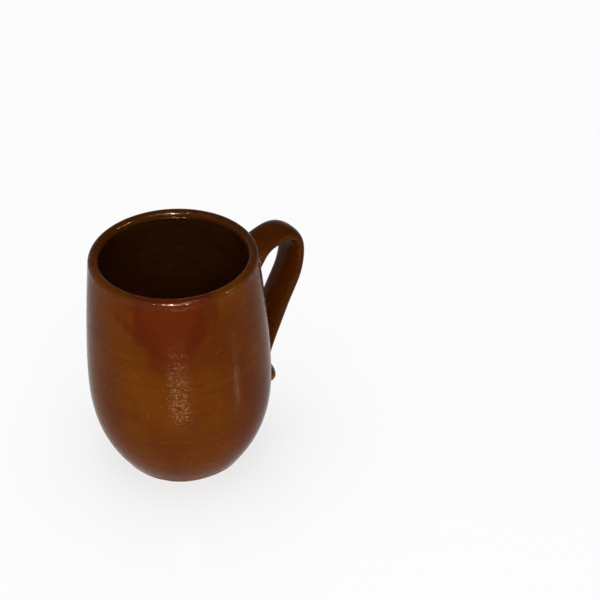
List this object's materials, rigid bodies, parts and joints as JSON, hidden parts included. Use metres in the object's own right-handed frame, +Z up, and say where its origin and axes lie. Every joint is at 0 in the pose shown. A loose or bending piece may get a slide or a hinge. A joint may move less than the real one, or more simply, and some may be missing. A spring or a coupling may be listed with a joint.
{
  "type": "mug",
  "caption": "Round-bellied stoneware mug with a thick rounded lip, a pulled strap handle with a turned-out tail, glossy amber-brown glaze and a bare clay foot ring.",
  "frame": {"origin": "on the table under the middle of the mug's overall length and width; the cup's own axis is 14.6 mm towards -X of it", "axes": "+Z up along the cup's axis, +X from the cup towards its handle, +Y across the strap"},
  "size_m": [0.1214, 0.0922, 0.12],
  "materials": {
    "bare_clay": "fired tan stoneware clay, matt",
    "slip": "fired clay slip, matt",
    "amber_glaze": "glossy amber-brown glaze, darker where it is thick",
    "dark_glaze": "glossy dark chocolate-brown glaze"
  },
  "bodies": {
    "root": {"thrown_body": "bare_clay", "handle_strap": "bare_clay", "upper_slip_joint": "slip", "lower_slip_joint": "slip", "liner_glaze": "dark_glaze", "outer_glaze": "amber_glaze", "recess_glaze": "dark_glaze", "handle_glaze": "amber_glaze"}
  },
  "joints": []
}
